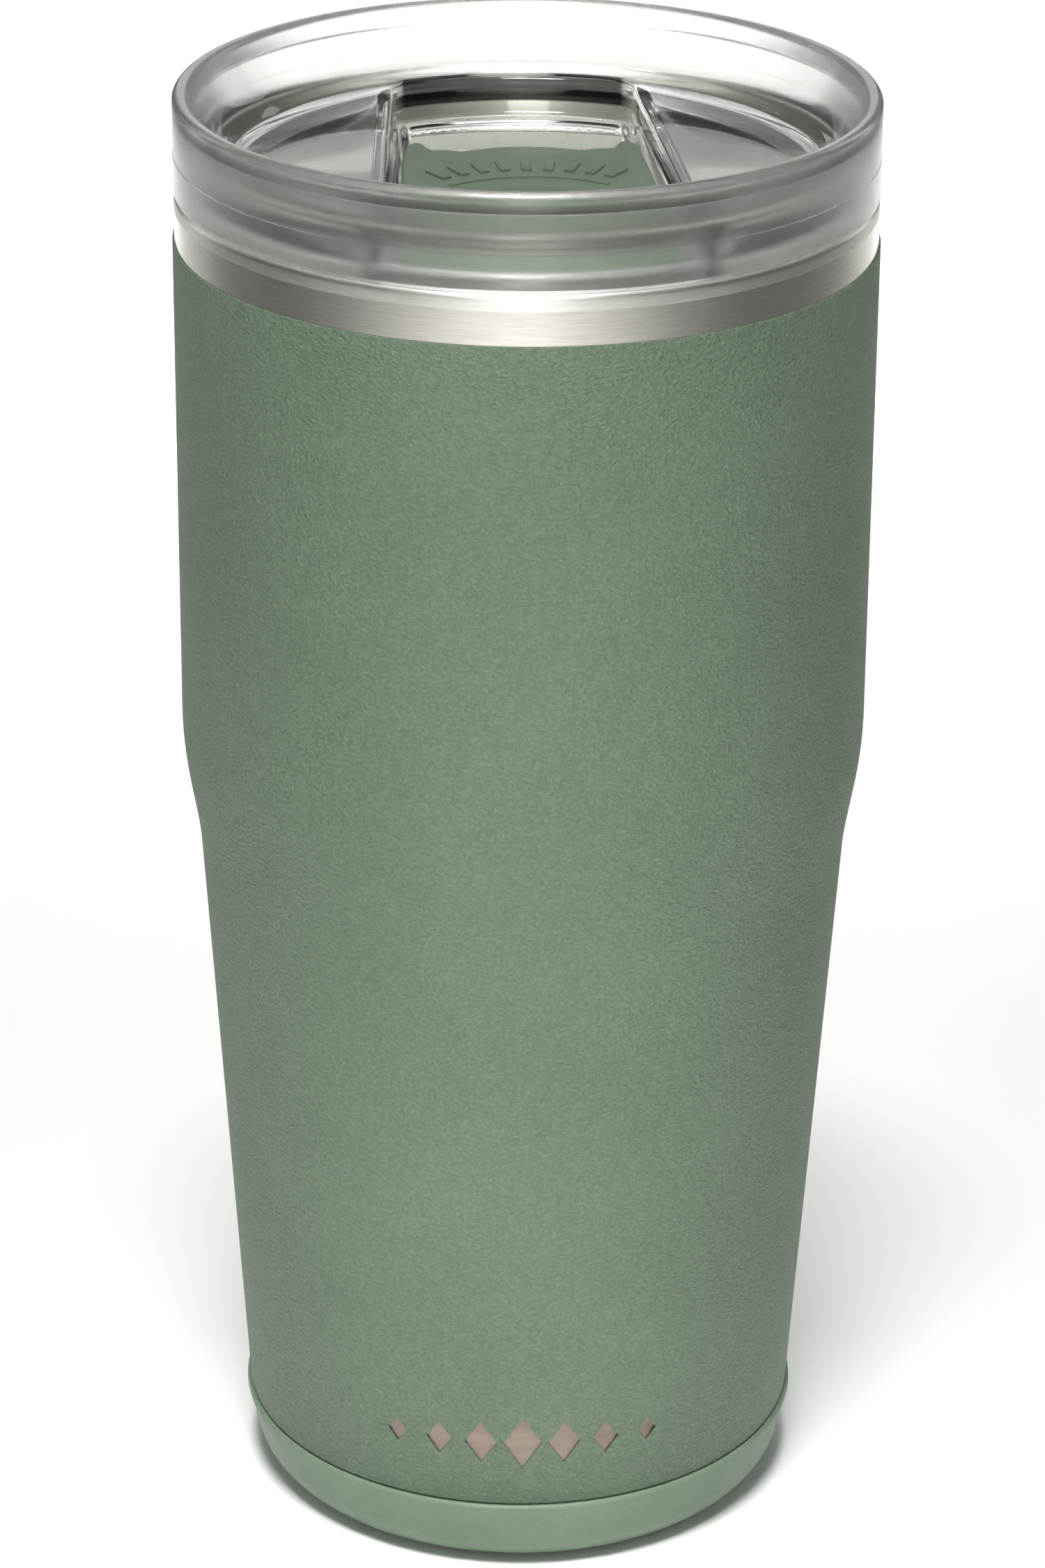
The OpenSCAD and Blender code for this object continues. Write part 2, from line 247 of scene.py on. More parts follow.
# Polyester powder coat with a fine wrinkle grain: satin, its grain catches the light
def powderCoatFinish():
    material, tree = newMaterial("powderCoatSage")
    place = addNode(tree, "ShaderNodeTexCoord").outputs["Object"]
    flat = addNode(tree, "ShaderNodeMapping", {"Scale": (1, 1, 1.3)}, {"Vector": place}).outputs[0]
    wrinkle = addNode(tree, "ShaderNodeTexNoise", {"Scale": perMm(0.55), "Detail": 1.2,
                      "Roughness": 0.5, "Distortion": 0.6}, {"Vector": flat}).outputs["Fac"]
    pebble = addNode(tree, "ShaderNodeTexVoronoi", {"feature": "SMOOTH_F1", "Scale": perMm(0.55),
                     "Smoothness": 0.6, "Randomness": 1.0}, {"Vector": flat}).outputs["Distance"]
    part = addNode(tree, "ShaderNodeMath", {"operation": "MULTIPLY", 1: -0.35}, {0: pebble}).outputs[0]
    height = addNode(tree, "ShaderNodeMath", {"operation": "ADD"}, {0: wrinkle, 1: part}).outputs[0]
    bump = addNode(tree, "ShaderNodeBump", {"Strength": 1.0, "Distance": 0.34 * mm},
                   {"Height": height}).outputs["Normal"]
    cloud = addNode(tree, "ShaderNodeTexNoise", {"Scale": perMm(28), "Detail": 2.0},
                    {"Vector": place}).outputs["Fac"]
    # painted shade and painted light: the coat's colour is darker in the grain's hollows and lighter on
    # its ridges
    hollowShade = addNode(tree, "ShaderNodeValToRGB", {"stops": ((0.2, "#576955"), (0.52, "#758872"))},
                    {"Fac": height}).outputs["Color"]
    drift = addNode(tree, "ShaderNodeValToRGB", {"stops": ((0.35, "#627460"), (0.65, "#6A7C68"))},
                    {"Fac": cloud}).outputs["Color"]
    paint = addNode(tree, "ShaderNodeMix", {"data_type": "RGBA", "blend_type": "MIX", 0: 0.45},
                    {6: drift, 7: hollowShade}).outputs[2]
    rough = addNode(tree, "ShaderNodeMapRange", {"To Min": 0.5, "To Max": 0.66},
                    {"Value": wrinkle}).outputs[0]
    shader = addNode(tree, "ShaderNodeBsdfPrincipled", {"IOR": 1.5},
                     {"Base Color": paint, "Roughness": rough, "Normal": bump})
    addNode(tree, "ShaderNodeOutputMaterial", links={"Surface": shader.outputs[0]})
    return material


# 304 stainless steel, turned and brushed round the cup: hairlines run along the band
def brushedSteelFinish(name, dark, light, smooth, rougher, strength, streak, etched=False):
    material, tree = newMaterial(name)
    lines = addNode(tree, "ShaderNodeTexNoise", {"Scale": 1.0, "Detail": 4.0, "Roughness": 0.6},
                    {"Vector": roundTheCup(tree, 7, perMm(0.16))}).outputs["Fac"]
    smears = addNode(tree, "ShaderNodeTexNoise", {"Scale": 1.0, "Detail": 2.0},
                     {"Vector": roundTheCup(tree, 2.2, perMm(2.4))}).outputs["Fac"]
    shade = addNode(tree, "ShaderNodeValToRGB", {"stops": ((0.3, dark), (0.7, light))},
                    {"Fac": lines}).outputs["Color"]
    rough = addNode(tree, "ShaderNodeMapRange", {"To Min": smooth, "To Max": rougher},
                    {"Value": smears}).outputs[0]
    if etched:
        # where the coat is etched away near the foot, the steel is a dull warm grey
        place = addNode(tree, "ShaderNodeTexCoord").outputs["Object"]
        height = addNode(tree, "ShaderNodeSeparateXYZ", links={"Vector": place}).outputs["Z"]
        low = addNode(tree, "ShaderNodeMapRange",
                      {"From Min": 60 * mm, "From Max": 50 * mm}, {"Value": height}).outputs[0]
        burnt = addNode(tree, "ShaderNodeValToRGB", {"stops": ((0.3, "#8B7F75"), (0.7, "#9A8E83"))},
                        {"Fac": smears}).outputs["Color"]
        shade = addNode(tree, "ShaderNodeMix", {"data_type": "RGBA"},
                        {0: low, 6: shade, 7: burnt}).outputs[2]
        rough = addNode(tree, "ShaderNodeMix", {"data_type": "FLOAT", 3: 0.5},
                        {0: low, 2: rough}).outputs[0]
    bump = addNode(tree, "ShaderNodeBump", {"Strength": strength, "Distance": 0.02 * mm},
                   {"Height": lines}).outputs["Normal"]
    shader = addNode(tree, "ShaderNodeBsdfPrincipled", {"Metallic": 1.0, "Anisotropic": streak,
                     "Anisotropic Rotation": 0.25},
                     {"Base Color": shade, "Roughness": rough, "Normal": bump})
    addNode(tree, "ShaderNodeOutputMaterial", links={"Surface": shader.outputs[0]})
    return material


track = {"frontR": 34.7, "backR": 33.0, "topR": 35.2, "guideX": 14.95, "guideH": 1.3,
         "backX": 15.4, "backY": 26.5, "splay": 0.057, "wall": 2.0, "floor": 1.3,
         "corner": 4.0, "footCorner": 2.6, "rise": 0.03, "channelCorner": 3.0,
         "grooveX": 15.6, "grooveH": 0.8, "grooveBackY": 23.2, "grooveFrontY": -31.0}
# box of painted shade on the track's back wall, in mm: its place, half sizes, lift and spare height
paintedShadeBox = {"y": 30.7, "halfX": 16.2, "halfY": 5.2, "rise": 0.35, "spare": 0.2}


# Clear copolyester, injection moulded: the rim is satin and blurs what is behind it,
# the bowl and the plug inside it are polished
def clearFinish():
    material, tree = newMaterial("clearCopolyester")
    place = addNode(tree, "ShaderNodeTexCoord").outputs["Object"]
    parts = addNode(tree, "ShaderNodeSeparateXYZ", links={"Vector": place}).outputs
    level = addNode(tree, "ShaderNodeCombineXYZ", links={"X": parts["X"], "Y": parts["Y"]}).outputs[0]
    reach = addNode(tree, "ShaderNodeVectorMath", {"operation": "LENGTH"}, {0: level}).outputs["Value"]
    outer = addNode(tree, "ShaderNodeMapRange", {"From Min": 37.8 * mm, "From Max": 39.2 * mm},
                    {"Value": reach}).outputs[0]
    above = addNode(tree, "ShaderNodeMapRange",
                    {"From Min": (cupTop - 0.3) * mm, "From Max": (cupTop + 0.2) * mm},
                    {"Value": parts["Z"]}).outputs[0]
    rim = addNode(tree, "ShaderNodeMath", {"operation": "MULTIPLY"}, {0: outer, 1: above}).outputs[0]
    flow = addNode(tree, "ShaderNodeTexNoise", {"Scale": perMm(9), "Detail": 2.0},
                   {"Vector": place}).outputs["Fac"]
    clean = addNode(tree, "ShaderNodeMapRange", {"To Min": 0.02, "To Max": 0.07},
                    {"Value": flow}).outputs[0]
    satin = addNode(tree, "ShaderNodeMapRange", {"To Min": 0.2, "To Max": 0.26},
                    {"Value": flow}).outputs[0]
    rough = addNode(tree, "ShaderNodeMix", {"data_type": "FLOAT"},
                    {0: rim, 2: clean, 3: satin}).outputs[0]
    bump = addNode(tree, "ShaderNodeBump", {"Strength": 0.05, "Distance": 0.2 * mm},
                   {"Height": flow}).outputs["Normal"]
    # painted shade: in a box round the track's back wall the plastic's colour turns near black, standing
    # in for the dark seen through that thick wall
    shelf = trackFloor + track["guideH"]
    middle = (0, paintedShadeBox["y"] * mm, ((bowlFloor + shelf) / 2 + paintedShadeBox["rise"]) * mm)
    half = (paintedShadeBox["halfX"] * mm, paintedShadeBox["halfY"] * mm,
            ((bowlFloor - shelf) / 2 + paintedShadeBox["spare"]) * mm)
    offset = addNode(tree, "ShaderNodeVectorMath", {"operation": "SUBTRACT", 1: middle},
                     {0: place}).outputs[0]
    span = addNode(tree, "ShaderNodeVectorMath", {"operation": "DIVIDE", 1: half},
                   {0: offset}).outputs[0]
    size = addNode(tree, "ShaderNodeVectorMath", {"operation": "ABSOLUTE"}, {0: span}).outputs[0]
    sides = addNode(tree, "ShaderNodeSeparateXYZ", links={"Vector": size}).outputs
    flat = addNode(tree, "ShaderNodeMath", {"operation": "MAXIMUM"},
                   {0: sides["X"], 1: sides["Y"]}).outputs[0]
    far = addNode(tree, "ShaderNodeMath", {"operation": "MAXIMUM"}, {0: flat, 1: sides["Z"]}).outputs[0]
    shadeMask = addNode(tree, "ShaderNodeMapRange", {"From Min": 1.0, "From Max": 0.85},
                     {"Value": far}).outputs[0]
    # painted shade: near black tint inside the box, the clear tint elsewhere
    tone = addNode(tree, "ShaderNodeMix",
                   {"data_type": "RGBA", 6: colour("#FCFCFB"), 7: colour("#161616")},
                   {0: shadeMask}).outputs[2]
    plastic = addNode(tree, "ShaderNodeBsdfPrincipled", {"IOR": 1.54, "Transmission Weight": 1.0},
                      {"Base Color": tone, "Roughness": rough, "Normal": bump})
    passing = addNode(tree, "ShaderNodeBsdfTransparent", {"Color": colour("#F4F5F2")})
    lamps = addNode(tree, "ShaderNodeLightPath").outputs["Is Shadow Ray"]
    mixed = addNode(tree, "ShaderNodeMixShader",
                    links={0: lamps, 1: plastic.outputs[0], 2: passing.outputs[0]})
    addNode(tree, "ShaderNodeOutputMaterial", links={"Surface": mixed.outputs[0]})
    return material


# Moulded plastics and silicones: a fine spark-eroded grain and a satin face
def mouldedFinish(name, dark, light, smooth, rougher, grainSize, depth, ior=1.5, sheer=0.0):
    material, tree = newMaterial(name)
    place = addNode(tree, "ShaderNodeTexCoord").outputs["Object"]
    grain = addNode(tree, "ShaderNodeTexNoise", {"Scale": perMm(grainSize), "Detail": 3.0,
                    "Roughness": 0.6}, {"Vector": place}).outputs["Fac"]
    cloud = addNode(tree, "ShaderNodeTexNoise", {"Scale": perMm(14), "Detail": 2.0},
                    {"Vector": place}).outputs["Fac"]
    both = addNode(tree, "ShaderNodeMath", {"operation": "ADD"}, {0: grain, 1: cloud}).outputs[0]
    half = addNode(tree, "ShaderNodeMath", {"operation": "MULTIPLY", 1: 0.5}, {0: both}).outputs[0]
    tint = addNode(tree, "ShaderNodeValToRGB", {"stops": ((0.35, dark), (0.65, light))},
                   {"Fac": half}).outputs["Color"]
    rough = addNode(tree, "ShaderNodeMapRange", {"To Min": smooth, "To Max": rougher},
                    {"Value": grain}).outputs[0]
    bump = addNode(tree, "ShaderNodeBump", {"Strength": 0.4, "Distance": depth * mm},
                   {"Height": grain}).outputs["Normal"]
    shader = addNode(tree, "ShaderNodeBsdfPrincipled",
                     {"IOR": ior, "Transmission Weight": sheer},
                     {"Base Color": tint, "Roughness": rough, "Normal": bump})
    addNode(tree, "ShaderNodeOutputMaterial", links={"Surface": shader.outputs[0]})
    return material


finishes = {
    "coat": powderCoatFinish(),
    "steel": brushedSteelFinish("brushedStainless", "#BDB9B1", "#D6D3CC", 0.12, 0.2, 0.3, 0.6, True),
    # electropolished: the same marks, softened to a pale sheen
    "liner_steel": brushedSteelFinish("electropolishedStainless", "#CFCDC6", "#E4E2DC",
                                      0.36, 0.46, 0.15, 0.7),
    # a fused bead of dark glass, nearly glossy
    "sealing_glass": mouldedFinish("fusedGlassFrit", "#3A3834", "#5A564E", 0.15, 0.3, 0.5, 0.03),
    # pressed metal powder, dull and dark
    "getter": mouldedFinish("pressedGetterPowder", "#3E3D3B", "#56544F", 0.7, 0.9, 0.15, 0.05),
    # silicones: a soft skin with a low sheen
    "boot": mouldedFinish("siliconeSage", "#6A7D69", "#788C77", 0.42, 0.52, 0.28, 0.025, 1.43),
    "clear_plastic": clearFinish(),
    "gasket": mouldedFinish("siliconeWhite", "#ECEDE8", "#F6F6F2", 0.35, 0.45, 0.4, 0.02, 1.43),
    # polypropylene: a darker satin than the boot
    "slider_plastic": mouldedFinish("polypropyleneSage", "#4F614D", "#5B6E59",
                                    0.46, 0.56, 0.22, 0.02, 1.49),
    # natural silicone lets some light through
    "seal": mouldedFinish("siliconeNatural", "#D5D6D0", "#E6E7E2", 0.35, 0.45, 0.4, 0.02, 1.43, 0.35),
}
print("materials made")


def finishPiece(piece, slotName, body, node, angle=35):
    smoothPiece(piece, angle)
    piece.data.materials.clear()
    piece.data.materials.append(finishes[slotName])
    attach(piece, body)
    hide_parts(node)
    print(piece.name, "done,", len(piece.data.polygons), "faces")


wall = {"waistR": bootHigh.x - 0.5, "taper": 0.066, "shoulderZ": 98, "shoulderH": 18,
        "bodyR": coatHigh.y, "coat": 0.25, "shell": 0.6, "gap": 2.4, "liner": 0.5}


def wallRadius(z):
    # a cone below, a cylinder above and an S-curve between them
    low = wall["waistR"] + wall["taper"] * (z - bootHigh.z)
    t = min(1, max(0, (z - wall["shoulderZ"]) / wall["shoulderH"] + 0.5))
    return low + (wall["bodyR"] - low) * t * t * (3 - 2 * t)


def wallLine(inset, z0, z1, steps=16):
    foot = wall["shoulderZ"] - wall["shoulderH"] / 2
    heights = [z0 + (foot - z0) * i / 4 for i in range(4)]
    heights += [foot + wall["shoulderH"] * i / steps for i in range(steps + 1)]
    heights += [heights[-1] + (z1 - heights[-1]) * i / 3 for i in range(1, 4)]
    return [(wallRadius(z) - inset, z) for z in heights]


emblem = {"z": 19.5, "height": 7.6, "pitch": 5.3, "side": 3, "shrink": 0.18, "turn": -2.5}


def makeCoat():
    edge = 0.12      # rounded ends of the paint
    outer = wallLine(0, coatLow.z + edge, coatHigh.z - edge)
    inner = wallLine(wall["coat"], coatLow.z, coatHigh.z)
    top = [(outer[-1][0] - edge * 0.4, coatHigh.z - edge * 0.35), (outer[-1][0] - edge, coatHigh.z)]
    foot = [(outer[0][0] - edge, coatLow.z), (outer[0][0] - edge * 0.4, coatLow.z + edge * 0.35)]
    coat = turnedPiece("powderCoat", foot + outer + top + inner[::-1], 320)
    for i in range(-emblem["side"], emblem["side"] + 1):
        height = emblem["height"] * (1 - emblem["shrink"] * abs(i))
        deselectAll()
        bpy.ops.mesh.primitive_cylinder_add(
            vertices=4, radius=height / 2 * mm, depth=20 * mm,
            location=(i * emblem["pitch"] * mm, -38 * mm, emblem["z"] * mm),
            rotation=(math.pi / 2, 0, 0))
        diamond = bpy.context.object
        diamond.scale = (2 / 3, 1, 1)
        bpy.ops.object.transform_apply(location=True, rotation=True, scale=True)
        bpy.ops.transform.rotate(value=-math.radians(emblem["turn"]), orient_axis="Z",
                                 center_override=(0, 0, 0))
        bpy.ops.object.transform_apply(location=True, rotation=True, scale=True)
        combine(coat, diamond, "DIFFERENCE")
    finishPiece(coat, "coat", "cup", "powder_coat")


boot = {"floor": 2.2, "wall": 1.6, "taper": 1.45, "corner": 5.5, "edge": 0.5, "seatH": 3,
        "recess": 0.6, "recessR": 24, "draft": 1.15}


def makeShell():
    # the foot of the wall steps in to sit inside the boot
    seat = shellLow.z + boot["seatH"]
    seatTop = bootHigh.x - boot["wall"]
    seatLow = seatTop - boot["taper"]
    thick = wall["shell"]
    outer = wallLine(wall["coat"], coatLow.z, shellHigh.z)
    inner = wallLine(wall["coat"] + thick, coatLow.z, shellHigh.z)
    section = [(seatLow, shellLow.z), (seatLow, seat), (seatTop, bootHigh.z)] + outer
    section += inner[::-1] + [(seatTop - thick, bootHigh.z), (seatLow - thick, seat),
                              (seatLow - thick, shellLow.z)]
    finishPiece(turnedPiece("outerShell", section), "steel", "cup", "outer_shell")


liner = {"corner": 10, "mouthH": 15, "blend": 4, "lipW": 2.25, "lipH": 1.9, "lipEdge": 0.7}


def makeLiner():
    lipR = wall["bodyR"] - wall["coat"]
    mouthR = lipR - liner["lipW"]
    thick = wall["liner"]
    inset = wall["coat"] + wall["shell"] + wall["gap"] + thick
    floorZ = linerLow.z + thick
    corner = liner["corner"]
    edge = liner["lipEdge"]
    bendZ = floorZ + corner
    bendX = wallRadius(bendZ) - inset - corner
    mouthZ = cupTop - liner["mouthH"]
    lipFoot = cupTop - liner["lipH"]
    section = [(0, floorZ)] + arcPoints(bendX, bendZ, corner, -90, 0, 12)
    section += wallLine(inset, bendZ + 1, mouthZ - liner["blend"]) + [(mouthR, mouthZ)]
    section += arcPoints(mouthR + edge, cupTop - edge, edge, 180, 90, 6)
    section += arcPoints(lipR - edge, cupTop - edge, edge, 90, 0, 6)
    section += [(lipR, lipFoot), (mouthR + thick, lipFoot), (mouthR + thick, mouthZ)]
    section += wallLine(inset - thick, bendZ + 1, mouthZ - liner["blend"])[::-1]
    section += arcPoints(bendX, bendZ, corner + thick, 0, -90, 12) + [(0, linerLow.z)]
    finishPiece(turnedPiece("innerLiner", section), "liner_steel", "cup", "inner_liner")


def makeBoot():
    rimR = bootHigh.x
    lowR = rimR - boot["draft"]
    seatTop = rimR - boot["wall"]
    seatLow = seatTop - boot["taper"]
    deep = boot["recess"]
    section = [(0, deep), (9, deep), (9.3, deep - 0.3), (10.7, deep - 0.3), (11, deep),
               (boot["recessR"] - 0.4, deep), (boot["recessR"], deep - 0.15),
               (boot["recessR"] + 0.45, 0.12), (boot["recessR"] + 0.8, 0)]
    section += arcPoints(lowR - boot["corner"], boot["corner"], boot["corner"], -90, 0, 12)
    section += arcPoints(rimR - boot["edge"], bootHigh.z - boot["edge"], boot["edge"], 0, 90, 6)
    section += [(seatTop, bootHigh.z), (seatLow, boot["floor"] + boot["seatH"]), (seatLow, boot["floor"]),
                (0, boot["floor"])]
    finishPiece(turnedPiece("baseBoot", section), "boot", "cup", "base_boot")


makeCoat()
makeShell()
makeLiner()
makeBoot()
for node, slotName in (("base_cap", "steel"), ("port_seal", "sealing_glass"),
                       ("getter_pellet", "getter"), ("getter_clip", "steel")):
    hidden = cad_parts[node]
    hidden.data.materials.clear()
    hidden.data.materials.append(finishes[slotName])
print("cup made")


lid = {"lip": 1.05, "wall": 1.6, "skirt": 1.8, "skirtR": gasketHigh.y - 0.4, "groove": 0.9,
       "floor": 2.0, "edge": 0.3, "fillet": 0.5, "inFillet": 0.8, "stepZ": 4.7,
       # the bowl from its mouth to its floor, as radius and height over the floor
       "bowl": ((40.2, 6.1), (39.3, 4.5), (38.6, 3.2), (38.1, 2.35), (37.4, 1.65), (36.7, 1.25),
                (36.2, 0.95), (35.75, 0.4), (35.3, 0.06), (34.8, 0))}
slot = {"backR": 30.6, "frontY": 18.0, "x": 13.2, "corner": 1.4}


def trackOutline(front, back, side, splay, corner, steps=10):
    # round ends about the lid's axis, straight sides that splay to the front, round corners
    slant = math.sqrt(1 + splay * splay)
    lean = math.degrees(math.atan(splay))
    reach = side - corner * slant

    def cornerAt(radius, sign):
        far = radius - corner
        root = (reach * splay) ** 2 - slant ** 2 * (reach ** 2 - far ** 2)
        y = (reach * splay + sign * math.sqrt(root)) / slant ** 2
        return reach - splay * y, y

    frontX, frontY = cornerAt(front, -1)
    backX, backY = cornerAt(back, 1)
    frontTurn = math.degrees(math.atan2(frontY, frontX))
    backTurn = math.degrees(math.atan2(backY, backX))
    right = arcPoints(0, 0, front, -90, frontTurn, steps)[:-1]
    right += arcPoints(frontX, frontY, corner, frontTurn, lean, 8)
    right += arcPoints(backX, backY, corner, lean, backTurn, 8)
    right += arcPoints(0, 0, back, backTurn, 90, steps)[1:]
    return mirrored(right)


def trackLevel(z, grow=0.0, corner=None):
    # the track's outline at a height, widened by grow
    up = z - trackFloor
    front = track["frontR"] + (track["topR"] - track["frontR"]) * up / trackDeep + grow
    back = track["backR"] + (track["topR"] - track["backR"]) * up / trackDeep + grow
    side = track["backX"] + track["splay"] * track["backY"] + track["rise"] * up + grow
    return trackOutline(front, back, side, track["splay"], (corner or track["corner"]) + grow)


def makeLidRing():
    r = lidHigh.y
    lip, edge = lid["lip"], lid["edge"]
    inner = r - lid["wall"]
    skirtR = lid["skirtR"]
    skirtIn = skirtR - lid["skirt"]
    back = skirtR - lid["groove"]
    bottom = lidLow.z
    section = arcPoints(r - edge, cupTop + edge, edge, -90, 0, 4)
    section += [(r, cupTop + lid["stepZ"]), (r - 0.06, cupTop + lid["stepZ"] + 0.1)]
    section += arcPoints(r - lip, lidTop - lip, lip, 0, 180, 12)[1:]
    section += [(x, bowlFloor + rise) for x, rise in lid["bowl"]]
    section += [(0, bowlFloor), (0, bowlFloor - lid["floor"])]
    inside, tip = lid["inFillet"], lid["fillet"]
    section += arcPoints(skirtIn - inside, bowlFloor - lid["floor"] - inside, inside, 90, 0, 4)
    section += arcPoints(skirtIn + tip, bottom + tip, tip, 180, 270, 4)
    section += arcPoints(skirtR - tip, bottom + tip, tip, 270, 360, 4)
    section += [(skirtR, gasketLow.z), (back, gasketLow.z), (back, gasketHigh.z),
                (skirtR, gasketHigh.z), (skirtR, bowlFloor + 2.5)]
    section += [(inner - 0.35, lidTop - 3.0), (inner, lidTop - 2.8), (inner, cupTop + 0.3)]
    section += [(inner + 0.3, cupTop)]
    return turnedPiece("clearLid", section, 288)


def makeLid():
    ring = makeLidRing()
    low = trackFloor - track["floor"]
    grow = track["wall"]
    block = loftedPiece("trackBlock", [
        (low, trackLevel(trackFloor, grow - 0.7)),
        (low + 0.2, trackLevel(trackFloor, grow - 0.3)),
        (low + 0.7, trackLevel(trackFloor, grow)),
        (bowlFloor - 1.0, trackLevel(bowlFloor - 1.8, grow))])
    combine(ring, block, "UNION")
    shelf, foot = trackFloor + track["guideH"], track["footCorner"]
    upper = loftedPiece("trackCut", [
        (shelf, trackLevel(shelf, -0.25, foot)),
        (shelf + 0.1, trackLevel(shelf + 0.1, -0.07, foot)),
        (shelf + 0.3, trackLevel(shelf + 0.3, 0.0, foot)),
        (bowlFloor - 0.4, trackLevel(bowlFloor - 0.4)),
        (bowlFloor - 0.2, trackLevel(bowlFloor - 0.2, 0.06)),
        (bowlFloor - 0.06, trackLevel(bowlFloor - 0.06, 0.2)),
        (bowlFloor, trackLevel(bowlFloor, 0.4)),
        (bowlFloor + 3, trackLevel(bowlFloor, 0.4))])
    combine(ring, upper, "DIFFERENCE")

    def channel(z, grow):
        up = z - trackFloor
        return trackOutline(track["frontR"] + 0.1 * up + grow, track["backR"] + 0.5 * up + grow,
                            track["guideX"] + grow, 0.0, track["channelCorner"] + grow)

    guide = loftedPiece("guideCut", [
        (trackFloor, channel(trackFloor, -0.4)),
        (trackFloor + 0.06, channel(trackFloor, -0.2)),
        (trackFloor + 0.2, channel(trackFloor, -0.06)),
        (trackFloor + 0.4, channel(trackFloor + 0.4, 0.0)),
        (shelf + 0.5, channel(shelf + 0.5, 0.0))])
    combine(ring, guide, "DIFFERENCE")

    front, back = track["grooveFrontY"], track["grooveBackY"]
    deselectAll()
    bpy.ops.mesh.primitive_cube_add(size=1)
    groove = bpy.context.object
    groove.scale = (2 * track["grooveX"] * mm, (back - front) * mm, track["grooveH"] * mm)
    groove.location = (0, (front + back) / 2 * mm, (trackFloor + track["grooveH"] / 2 + 0.02) * mm)
    bpy.ops.object.transform_apply(location=True, rotation=True, scale=True)
    combine(ring, groove, "DIFFERENCE")

    def opening(grow):
        corner = slot["corner"] + grow
        side = slot["x"] + grow - corner
        far = slot["backR"] + grow - corner
        y = math.sqrt(far ** 2 - side ** 2)
        turn = math.degrees(math.atan2(y, side))
        right = [(0, slot["frontY"] - grow)]
        right += arcPoints(side, slot["frontY"] + slot["corner"], corner, -90, 0, 5)
        right += arcPoints(side, y, corner, 0, turn, 5)
        right += arcPoints(0, 0, slot["backR"] + grow, turn, 90, 8)[1:]
        return mirrored(right)

    hole = loftedPiece("slotCut", [
        (low - 0.5, opening(0.25)), (low, opening(0.25)), (low + 0.25, opening(0.0)),
        (trackFloor - 0.25, opening(0.0)), (trackFloor, opening(0.25)),
        (trackFloor + 0.5, opening(0.25))])
    combine(ring, hole, "DIFFERENCE")
    finishPiece(ring, "clear_plastic", "lid", "lid_body", 28)


gasket = {"bands": 5, "fins": (0.8, 3.4)}      # the fins' feet, in bands of the height


def makeGasket():
    low, high = gasketLow.z, gasketHigh.z
    back = lid["skirtR"] - lid["groove"]
    face, fin = lid["skirtR"], gasketHigh.y
    band = (high - low) / gasket["bands"]
    section = [(back, low), (face - 0.1, low), (face, low + 0.1)]
    for start in gasket["fins"]:
        foot = low + start * band
        section += [(face, foot - 0.3 * band), (fin - 0.12, foot + 0.25 * band),
                    (fin, foot + 0.45 * band), (fin - 0.08, foot + 0.68 * band),
                    (face, foot + 1.1 * band)]
    section += [(face, high - 0.1), (face - 0.1, high), (back, high)]
    finishPiece(turnedPiece("lidGasket", section), "gasket", "lid", "lid_gasket", 60)


makeLid()
makeGasket()
print("lid made")


slider = {"plate": 1.0, "lap": 0.75, "travel": 17.7, "frontR": 34.4, "backY": 11.2,
          "carrierX": 14.8, "carrierR": 32.2, "lip": 0.75, "railX": 15.45, "railH": 0.5,
          "corner": 2.4, "underCorner": 2.0, "hornBack": 1.3, "railFrontY": -30.7, "railEnd": 0.8,
          "neckLong": 38, "neckY": -11, "dimpleR": 9.6, "dimpleDeep": 0.5, "dimpleY": -16.5}


def plateOutline():
    side = track["guideX"] + slider["lap"]
    corner = slider["corner"]
    far = slider["frontR"] - corner
    y = -math.sqrt(far ** 2 - (side - corner) ** 2)
    turn = math.degrees(math.atan2(y, side - corner))
    right = arcPoints(0, 0, slider["frontR"], -90, turn, 8)[:-1]
    right += arcPoints(side - corner, y, corner, turn, 0, 6)
    tip = slider["backY"]
    # the horns stop short of the lid's wall when the slider is closed, at the back of its track
    horn = sliderHigh.y - slider["hornBack"]
    right += smoothLine([(15.6, -20), (15.35, -7), (15.1, 1), (14.8, 6), (14.6, 9),
                         (14.25, horn - 1.7), (13.65, horn - 0.4), (12.95, horn), (12.3, horn - 0.4),
                         (11.9, horn - 1.2), (11.6, horn - 2.1), (11.1, horn - 2.95),
                         (10.3, horn - 3.3), (9.2, horn - 3.05), (7.4, tip - 1.75), (5, tip - 0.85),
                         (2.4, tip - 0.2), (0, tip)])
    return mirrored(right)


def underOutline(halfWidth, radius, frontY):
    # the back edge is round about the lid's axis once the slider is closed; with no frontY
    # the front edge is round too
    corner = slider["underCorner"]
    side = halfWidth - corner
    far = radius - corner
    y = math.sqrt(far ** 2 - side ** 2)
    turn = math.degrees(math.atan2(y, side))
    shift = -slider["travel"]
    if frontY is None:
        front = slider["frontR"] - 0.4
        right = arcPoints(0, 0, front, -90, -math.degrees(math.acos(halfWidth / front)), 8)
    else:
        right = [(0, frontY)] + arcPoints(side, frontY + corner, corner, -90, 0, 5)
    right += arcPoints(side, y + shift, corner, 0, turn, 5)
    right += arcPoints(0, shift, radius, turn, 90, 8)[1:]
    return mirrored(right)


grips = {"count": 9, "reach": 34, "inner": 17.4, "outer": 21.2, "wide": 1.3, "proud": 0.22,
         "lineR": 14.9, "lineWide": 0.7}


